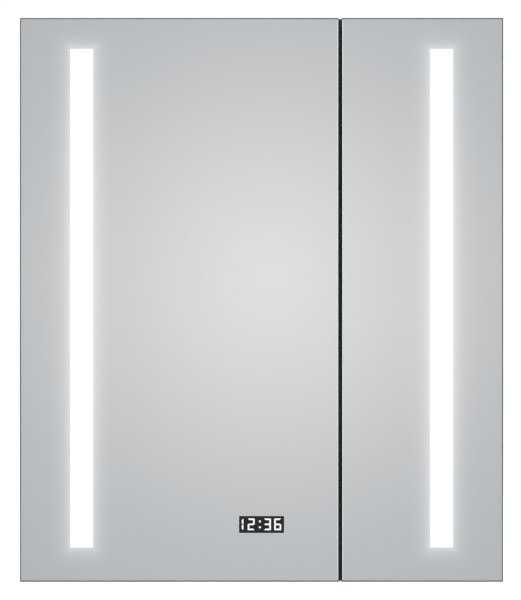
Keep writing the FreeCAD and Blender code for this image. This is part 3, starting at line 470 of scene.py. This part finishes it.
light_inset = 76.5 * MM
light_half = 14.1 * MM
light_low = cad_low[2] + 42.5 * MM
light_high = light_low + 619 * MM
clock_half_width = 28 * MM
clock_half_height = 10.6 * MM
clock_middle = cad_low[2] + 71 * MM
ground_arris = 0.25 * MM
meeting_arris = 1.0 * MM
meeting_set_back = 0.3 * MM
mirror_tint = (0.955, 0.965, 0.962)
any_depth = 1.0
panes = {}
for side, sign in (("left", -1), ("right", 1)):
    low, high = (list(corner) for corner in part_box(f"{side}_front_mirror"))
    if side == "left":
        high[0] -= meeting_set_back
    else:
        low[0] += meeting_set_back
    strip = sign * (abs(cad_low[0]) - light_inset)
    silver, silver_tree, silver_shader = new_finish(f"{side}_silver", mirror_tint, 1.0, 0.015)
    mark(silver_tree, silver_shader, size=5.0, low=0.008, high=0.03)
    # The silver gets the painted glow round its light window.
    paint_strip_glow(silver_tree, silver_shader, (strip, low[1], (light_low + light_high) / 2),
               (light_half, any_depth, (light_high - light_low) / 2), halo_reach, halo_strength)
    cuts_x = {low[0], strip - light_half, strip + light_half, high[0]}
    cuts_z = {low[2], light_low, light_high, high[2]}
    if side == "left":
        cuts_x |= {-clock_half_width, clock_half_width}
        cuts_z |= {clock_middle - clock_half_height, clock_middle + clock_half_height}
    cuts_x = sorted(cuts_x)
    cuts_z = sorted(cuts_z)
    column = cuts_x.index(strip - light_half)
    windows = {(column, j) for j in range(cuts_z.index(light_low), cuts_z.index(light_high))}
    if side == "left":
        windows.add((cuts_x.index(-clock_half_width),
                     cuts_z.index(clock_middle - clock_half_height)))
    pane = to_object(f"{side}_mirror_pane",
                     pane_mesh(cuts_x, cuts_z, windows, low[1], high[1], ground_arris,
                               high[0] if side == "left" else low[0], meeting_arris),
                     [silver, glass_edge, dark_backing_and_side_shade], f"{side}_door")
    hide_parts(f"{side}_front_mirror")
    panes[side] = (low, high, strip)


# ---------------------------------------------------------------- light windows
# Where the silver is etched away the glass is frosted, and the opal cover behind
# it lights it evenly white from end to end.
window_arris = 0.1 * MM


def slab(low, high, arris):
    """Rectangular plate with rounded arrises."""
    mesh = bmesh.new()
    bmesh.ops.create_cube(mesh, size=1)
    for vertex in mesh.verts:
        for axis in range(3):
            middle = (low[axis] + high[axis]) / 2
            vertex.co[axis] = middle + vertex.co[axis] * (high[axis] - low[axis])
    bmesh.ops.bevel(mesh, geom=list(mesh.edges), offset=arris, segments=2, affect="EDGES",
                    profile=0.5)
    return mesh


def light_up(tree, shader, strength, grain_size, detail, dimmest):
    """Lit surface whose fine grain varies a little in colour; gives back the grain."""
    grain = add(tree, "TexNoise", {"Scale": grain_size, "Detail": detail})
    shade = ramp(tree, grain.outputs[0], [(0.3, dimmest), (0.7, (1, 1, 1))])
    tree.links.new(shade, shader.inputs["Emission Color"])
    shader.inputs["Emission Strength"].default_value = strength
    return grain


frosted, frost_tree, frost_shader = new_finish("frosted_window", (0.03, 0.03, 0.03), 0.0, 0.55)
frost_grain = light_up(frost_tree, frost_shader, strength=1.01, grain_size=1800.0, detail=2.0,
                       dimmest=(0.97, 0.975, 0.98))
bump(frost_tree, frost_shader, frost_grain.outputs[0], strength=0.4, distance=0.03 * MM)
window_gap = 0.02 * MM
window_set_back = 0.05 * MM
for side, (low, high, strip) in panes.items():
    to_object(
        f"{side}_light_window",
        slab((strip - light_half + window_gap, low[1] + window_set_back, light_low + window_gap),
             (strip + light_half - window_gap, high[1], light_high - window_gap), window_arris),
        [frosted], f"{side}_door")

# ---------------------------------------------------------------- clock
# A smoked window in the wide door, with the display's four lit digits and their
# colon just inside it.  Each digit is drawn with up to seven mitred bars.
smoked, smoke_tree, smoke_shader = new_finish("smoked_glass", (0.010, 0.010, 0.011), 0.0, 0.06)
smoke_shader.inputs["Specular IOR Level"].default_value = 0.3
mark(smoke_tree, smoke_shader, size=14.0, low=0.05, high=0.12)
left_low, left_high = panes["left"][:2]
clock_set_back = 0.25 * MM
to_object("clock_window",
          slab((-clock_half_width + window_gap, left_low[1] + clock_set_back,
                clock_middle - clock_half_height + window_gap),
               (clock_half_width - window_gap, left_high[1],
                clock_middle + clock_half_height - window_gap), window_arris),
          [smoked], "left_door")

digit_glow, digit_tree, digit_shader = new_finish("lit_digit", (0.03, 0.03, 0.03), 0.0, 0.4)
light_up(digit_tree, digit_shader, strength=1.0, grain_size=900.0, detail=1.0,
         dimmest=(0.96, 0.98, 1.0))

digit_half_width = 4.35 * MM
digit_half_height = 7.3 * MM
bar_thick = 2.0 * MM
bar_gap = 0.12 * MM
digit_depth = 0.1 * MM
digit_raise = 0.2 * MM
digits = {"1": -26.9 * MM, "2": -12.85 * MM, "3": 7.35 * MM, "6": 20.05 * MM}
lit_bars = {"1": "bc", "2": "abged", "3": "abgcd", "6": "acdefg"}


def bar_outlines():
    """Outlines of the seven bars about a digit's middle: four of them by mirroring."""
    wide, tall, thick, gap = digit_half_width, digit_half_height, bar_thick, bar_gap
    top = [(gap - wide, tall), (wide - gap, tall), (wide - thick - gap, tall - thick),
           (thick + gap - wide, tall - thick)]
    right = [(wide, tall - gap), (wide, gap), (wide - thick, thick / 2 + gap),
             (wide - thick, tall - thick - gap)]
    reach = wide - gap
    middle = [(-reach, 0), (thick - reach, thick / 2), (reach - thick, thick / 2), (reach, 0),
              (reach - thick, -thick / 2), (thick - reach, -thick / 2)]
    return {"a": top, "b": right, "g": middle,
            "c": [(x, -z) for x, z in right], "d": [(x, -z) for x, z in top],
            "e": [(-x, -z) for x, z in right], "f": [(-x, z) for x, z in right]}


def prism(mesh, outline, front, back):
    """Add a flat shape to the mesh, pushed through from one plane to another."""
    face = mesh.faces.new([mesh.verts.new((x, back, z)) for x, z in outline])
    made = bmesh.ops.extrude_face_region(mesh, geom=[face])["geom"]
    for vertex in (item for item in made if isinstance(item, bmesh.types.BMVert)):
        vertex.co.y = front


digit_mesh = bmesh.new()
digit_front = left_low[1] + clock_set_back - digit_depth
digit_back = left_low[1] + clock_set_back + digit_depth
digit_middle = clock_middle + digit_raise
outlines = bar_outlines()
for figure, middle in digits.items():
    for bar in lit_bars[figure]:
        prism(digit_mesh, [(middle + x, digit_middle + z) for x, z in outlines[bar]],
              digit_front, digit_back)
colon_across = -2.1 * MM
colon_rise = 3.7 * MM
colon_radius = 1.3 * MM
dot_step = 20
for up in (colon_rise, -colon_rise):
    dot = [(colon_across + colon_radius * math.cos(math.radians(turn)),
            digit_middle + up + colon_radius * math.sin(math.radians(turn)))
           for turn in range(0, 360, dot_step)]
    prism(digit_mesh, dot, digit_front, digit_back)
bmesh.ops.recalc_face_normals(digit_mesh, faces=digit_mesh.faces)
to_object("clock_digits", digit_mesh, [digit_glow], "left_door")


# ---------------------------------------------------------------- clock case and keys
# Behind the mirror sits the clock's black moulded case with its display, and its
# two setting keys poke through the inner mirror.
def make_moulded_grain():
    """Fine pebbled skin of a moulded plastic or rubber, with faint flow patches."""
    tree, given, result = effect(
        "Moulded grain", [("Size", "Float", 1200.0), ("Patch", "Float", 0.08)],
        [("Shade", "Float"), ("Height", "Float")])
    where = own_place(tree)
    grain = add(tree, "TexNoise", {"Vector": where, "Scale": given["Size"], "Detail": 2.0})
    flow = add(tree, "TexNoise", {"Vector": where, "Scale": 25.0, "Detail": 3.0})
    tree.links.new(dimming(tree, flow, given["Patch"]), result["Shade"])
    tree.links.new(grain.outputs[0], result["Height"])
    return tree


moulded_grain = make_moulded_grain()


worn_by = 0.12


def moulding(name, colour, rubbed_colour, roughness, grain_size, depth, patch=0.08):
    """Moulded plastic, rubber or coating with its skin and lighter arrises."""
    material, tree, shader = new_finish(name, colour, 0.0, roughness)
    skin = place(tree, moulded_grain, size=grain_size, patch=patch)
    edges = place(tree, rubbed_edges, width=0.4 * MM, sharpness=1.5)
    tint(tree, shader, colour, rubbed_colour, skin.outputs["Shade"], edges.outputs["Mask"])
    mark(tree, shader, size=20.0, low=roughness, high=roughness + worn_by)
    bump(tree, shader, skin.outputs["Height"], 0.3, depth, edges)
    return material


black_plastic = moulding("black_plastic", (0.022, 0.022, 0.024), (0.06, 0.06, 0.062),
                         roughness=0.3, grain_size=1500.0, depth=0.03 * MM)
for name in ("left_clock_housing", "left_clock_display", "hour_button", "minute_button"):
    dress(name, black_plastic)
for name in ("hour_button", "minute_button"):
    soften(name, width=0.3 * MM, segments=3)

# ---------------------------------------------------------------- inner mirrors
# The inside of each door carries a second, thinner mirror of silvered glass, bonded
# to the door's frame with its cut edges left bare.
inner_silver, inner_tree, inner_shader = new_finish("inner_silver", mirror_tint, 1.0, 0.02)
mark(inner_tree, inner_shader, size=6.0, low=0.012, high=0.05)
inner_arris = place(inner_tree, rubbed_edges, width=0.3 * MM)
inner_tree.links.new(inner_arris.outputs["Normal"], inner_shader.inputs["Normal"])
for side in ("left", "right"):
    dress(f"{side}_back_mirror", inner_silver)

# ---------------------------------------------------------------- door frames
# Hollow aluminium bars make up each leaf: a wide hinge stile bored for the cups,
# a narrow lock stile and two rails between them.
profile_grey = (0.72, 0.73, 0.74)
profile_rubbed = (0.86, 0.87, 0.88)
bright_up = drawn_metal("drawn_upright", profile_grey, profile_rubbed, lines_up, contrast=0.10,
                        low=0.29, high=0.38)
bright_across = drawn_metal("drawn_across", profile_grey, profile_rubbed, lines_across,
                            contrast=0.10, low=0.29, high=0.38)
for side in ("left", "right"):
    for part in ("hinge_stile", "lock_stile"):
        dress(f"{side}_{part}", bright_up)
    for part in ("top_rail", "bottom_rail"):
        dress(f"{side}_{part}", bright_across)
        soften(f"{side}_{part}", width=0.3 * MM)

# ---------------------------------------------------------------- lights
# A mill-finish channel behind each light window holds a white board with its row
# of LEDs, under an opal cover.
plain_metal = drawn_metal("mill_aluminium", (0.66, 0.66, 0.67), (0.80, 0.80, 0.81), lines_up,
                          contrast=0.18, low=0.35, high=0.5)
board_white = moulding("board_white", (0.80, 0.80, 0.76), (0.85, 0.85, 0.82), roughness=0.35,
                       grain_size=2500.0, depth=0.01 * MM)
opal = moulding("opal_cover", (0.88, 0.88, 0.88), (0.92, 0.92, 0.92), roughness=0.5,
                grain_size=3000.0, depth=0.01 * MM)
opal_shader = opal.node_tree.nodes["Principled BSDF"]
opal_shader.inputs["Emission Color"].default_value = white
opal_shader.inputs["Emission Strength"].default_value = 1.0
for side in ("left", "right"):
    dress(f"{side}_led_channel", plain_metal)
    dress(f"{side}_led_strip", board_white)
    dress(f"{side}_diffuser", opal)

# ---------------------------------------------------------------- carcass
# Side, top and bottom panels are one anodised hollow profile, mitred at the
# corners over hidden angle keys; the divider behind the gap matches them.
for name in ("left_side_panel", "right_side_panel", "divider_panel"):
    dress(name, bright_up)
for name in ("top_panel", "bottom_panel"):
    dress(name, bright_across)
dress("corner_keys", plain_metal)

# ---------------------------------------------------------------- rubber
# The strip on the divider's edge that closes the gap, the bumpers that the doors
# land on and the cable's grommet are black rubber.  A lighter grey stripe up the strip's
# middle is a painted highlight, standing for light on a rounded rib.
def moulded_rubber(name):
    """Matt black rubber."""
    return moulding(name, (0.016, 0.016, 0.017), (0.03, 0.03, 0.03), roughness=0.6,
                    grain_size=1800.0, depth=0.04 * MM)


rubber = moulded_rubber("black_rubber")
for name in ("door_bumpers", "cable_grommet"):
    dress(name, rubber)
seal_rubber = moulded_rubber("seal_rubber")
seal_tree = seal_rubber.node_tree
seal_shader = seal_tree.nodes["Principled BSDF"]
seal_low, seal_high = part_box("divider_seal")
seal_middle = (seal_low[0] + seal_high[0]) / 2
# The grey stripe is a painted highlight down the seal's middle, not a colour of the rubber.
rib_half = 0.85 * MM
rib_highlight_grey = (0.22, 0.22, 0.225, 1)
seal_place = add(seal_tree, "SeparateXYZ", {"Vector": own_place(seal_tree)})
on_painted_rib_highlight = work_out(seal_tree, "COMPARE", seal_place.outputs["X"], seal_middle, rib_half)
seal_black = seal_shader.inputs["Base Color"].links[0].from_socket
seal_tree.links.new(blend(seal_tree, on_painted_rib_highlight, seal_black, rib_highlight_grey),
                    seal_shader.inputs["Base Color"])
dress("divider_seal", seal_rubber)

# ---------------------------------------------------------------- back
# The back and the lights' cover are sheet, coated white with a faint orange peel.
# The hanger plates behind the wall slots are zinc-plated and riveted on.
sheet_coat = moulding("sheet_coat", (0.70, 0.71, 0.72), (0.78, 0.79, 0.80), roughness=0.42,
                      grain_size=700.0, depth=0.06 * MM, patch=0.025)
dress("back_panel", sheet_coat)
dress("driver_cover", sheet_coat)


rubbed_gain = 1.25


def plated_steel(name, colour, roughness):
    """Plated steel whose crystals differ a little in tone."""
    material, tree, shader = new_finish(name, colour, 1.0, roughness)
    flakes = add(tree, "TexVoronoi", {"Vector": own_place(tree), "Scale": 260.0})
    tone = add(tree, "MapRange", {"Value": flakes.outputs["Distance"], "From Max": 0.8,
                                  "To Min": 0.86, "To Max": 1.0})
    edges = place(tree, rubbed_edges, width=0.4 * MM)
    bright = tuple(min(1, part * rubbed_gain) for part in colour)
    tint(tree, shader, colour, bright, tone.outputs[0], edges.outputs["Mask"])
    mark(tree, shader, size=40.0, low=roughness, high=roughness + worn_by)
    tree.links.new(edges.outputs["Normal"], shader.inputs["Normal"])
    return material


zinc = plated_steel("zinc_plate", (0.60, 0.62, 0.66), roughness=0.32)
dress("hanger_plates", zinc)

# ---------------------------------------------------------------- shelves
# Two shelves of clear toughened glass in each bay, their edges polished round.  They
# lie loose on nickel-plated pegs that push into holes in the panels.
clear_glass, glass_tree, glass_shader = new_finish("clear_glass", (0.90, 0.97, 0.94), 0.0, 0.02)
glass_shader.inputs["Transmission Weight"].default_value = 1.0
glass_shader.inputs["IOR"].default_value = 1.52
mark(glass_tree, glass_shader, size=8.0, low=0.01, high=0.04)
for bay in ("left", "right"):
    for level in ("lower", "upper"):
        dress(f"{bay}_{level}_shelf", clear_glass)
        soften(f"{bay}_{level}_shelf", width=0.8 * MM)
nickel = plated_steel("nickel_plate", (0.66, 0.64, 0.60), roughness=0.14)
dress("shelf_pegs", nickel)

# ---------------------------------------------------------------- electrics
# The lights' power supply under its cover, and the white moulded unit inside with
# a socket and the rocker that switches the lights.
white_plastic = moulding("white_plastic", (0.80, 0.80, 0.78), (0.86, 0.86, 0.85),
                         roughness=0.29, grain_size=1600.0, depth=0.02 * MM)
for name in ("led_driver", "outlet_box", "outlet_face_plate", "socket_insert", "switch_rocker"):
    dress(name, white_plastic)
soften("switch_rocker", width=0.5 * MM, segments=3)

# ---------------------------------------------------------------- hinges
# Nickel-plated concealed hinges: plates and arms on the side panels, cups bored
# into the stiles, and curved links between them on steel pins.
for name in ("hinge_mounting_plates", "hinge_arms", "left_hinge_links", "right_hinge_links",
             "left_hinge_cups", "right_hinge_cups"):
    dress(name, nickel)
for name in ("arm_pins", "left_cup_pins", "right_cup_pins"):
    dress(name, zinc)

# ---------------------------------------------------------------- screws and rivets
# Zinc-plated cross-head screws: two through each mounting plate, two through the
# wings of each cup, and two that adjust each arm.  Domed rivets hold the hanger plates.
turn_steps = 28
screw_dome = ((0.96, 0), (1, 0.15), (0.97, 0.45), (0.86, 0.78), (0.66, 0.96), (0.56, 1))
recess_reach = 0.46
recess_half = 0.11
recess_taper = 0.85
recess_floor = 0.35


def ring(mesh, turn, spot, radius, height):
    """One ring of vertices about the screw's axis."""
    angles = [i * math.tau / turn_steps for i in range(turn_steps)]
    return [mesh.verts.new(spot + turn @ Vector((radius * math.cos(angle),
                                                 radius * math.sin(angle), height)))
            for angle in angles]


def add_head(mesh, spot, facing, profile):
    """Round head and shank turned from a profile of radii and heights, open at the top."""
    turn = Vector(facing).to_track_quat("Z", "Y")
    rings = [ring(mesh, turn, spot, across, up) for across, up in profile]
    mesh.faces.new(rings[0][::-1])
    for lower, upper in zip(rings, rings[1:]):
        for i in range(turn_steps):
            j = (i + 1) % turn_steps
            face = mesh.faces.new((lower[i], lower[j], upper[j], upper[i]))
            face.smooth = True
    return turn, rings[-1]


def add_screw(mesh, spot, facing, radius, height, shank_radius, shank_length):
    """Domed head with a cross recess, and the shank that it sits on."""
    spot = Vector(spot)
    dome = [(radius * across, height * up) for across, up in screw_dome]
    turn, top = add_head(mesh, spot, facing,
                         [(shank_radius, -shank_length), (shank_radius, 0)] + dome)
    reach = radius * recess_reach
    half = radius * recess_half
    corners = [(reach, half), (half, half), (half, reach), (-half, reach), (-half, half),
               (-reach, half), (-reach, -half), (-half, -half), (-half, -reach), (half, -reach),
               (half, -half), (reach, -half)]
    rim = [mesh.verts.new(spot + turn @ Vector((x, y, height))) for x, y in corners]
    sunk = [mesh.verts.new(spot + turn @ Vector((x * recess_taper, y * recess_taper,
                                                 height * recess_floor))) for x, y in corners]
    count = len(corners)
    for i in range(count):
        j = (i + 1) % count
        mesh.faces.new((rim[i], sunk[i], sunk[j], rim[j]))
    mesh.faces.new(sunk)
    edges = [mesh.edges.get((top[i], top[(i + 1) % turn_steps])) for i in range(turn_steps)]
    edges += [mesh.edges.get((rim[i], rim[(i + 1) % count])) for i in range(count)]
    bmesh.ops.triangle_fill(mesh, edges=edges, use_beauty=True)


rivet_step = 15


def add_rivet(mesh, spot, facing, radius, height):
    """Low domed head, without a recess."""
    arc = [math.radians(angle) for angle in range(0, 90, rivet_step)]
    top = add_head(mesh, Vector(spot), facing,
                   [(radius * math.cos(angle), height * math.sin(angle)) for angle in arc])[1]
    mesh.faces.new(top)


def screw_piece(name, screws, body, replaced, add_one=add_screw):
    """One piece with several like screws, in place of the plain ones or added."""
    mesh = bmesh.new()
    for spot, facing, sizes in screws:
        add_one(mesh, spot, facing, *sizes)
    bmesh.ops.recalc_face_normals(mesh, faces=mesh.faces)
    piece = to_object(name, mesh, [zinc], body)
    if replaced:
        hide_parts(replaced)


hinge_rise = 255 * MM
plate_screw_rise = 16 * MM
cup_screw_rise = 22.5 * MM
plate_screw_sizes = (4 * MM, 1.8 * MM, 2.2 * MM, 7 * MM)
cup_screw_sizes = (3.4 * MM, 0.9 * MM, 1.9 * MM, 9.6 * MM)
adjuster_sizes = (2.8 * MM, 0.7 * MM, 2.0 * MM, 2 * MM)
plate_face = 17 * MM
plate_screw_depth = -85 * MM
arm_face = 26 * MM
adjuster_depths = (-78 * MM, -97 * MM)
cup_screw_inset = 28 * MM
wing_plane = -119.4 * MM
levels = (hinge_rise, -hinge_rise)
outer_side = cad_high[0]
plate_screws = []
adjusters = []
for sign in (-1, 1):
    for level in levels:
        for shift in (-plate_screw_rise, plate_screw_rise):
            plate_screws.append(((sign * (outer_side - plate_face), plate_screw_depth,
                                  level + shift), (-sign, 0, 0), plate_screw_sizes))
        for depth in adjuster_depths:
            adjusters.append(((sign * (outer_side - arm_face), depth, level), (-sign, 0, 0),
                              adjuster_sizes))
rivet_sizes = (3 * MM, 1.2 * MM)
rivet_across = 22 * MM
rivet_up = 13 * MM
hanger_across = 250 * MM
hanger_up = 290 * MM
hanger_face = -5 * MM
rivets = [((sign * hanger_across + i * rivet_across, hanger_face, hanger_up + j * rivet_up),
           (0, -1, 0), rivet_sizes) for sign in (-1, 1) for i in (-1, 1) for j in (-1, 1)]
screw_piece("domed_rivets", rivets, "cabinet", "hanger_rivets", add_rivet)
screw_piece("plate_cross_screws", plate_screws, "cabinet", "plate_screws")
screw_piece("arm_adjusters", adjusters, "cabinet", None)
for side, sign in (("left", -1), ("right", 1)):
    screw_piece(f"{side}_cup_cross_screws",
                [((sign * (outer_side - cup_screw_inset), wing_plane, level + shift), (0, 1, 0),
                  cup_screw_sizes) for level in levels
                 for shift in (-cup_screw_rise, cup_screw_rise)],
                f"{side}_door", f"{side}_cup_screws")
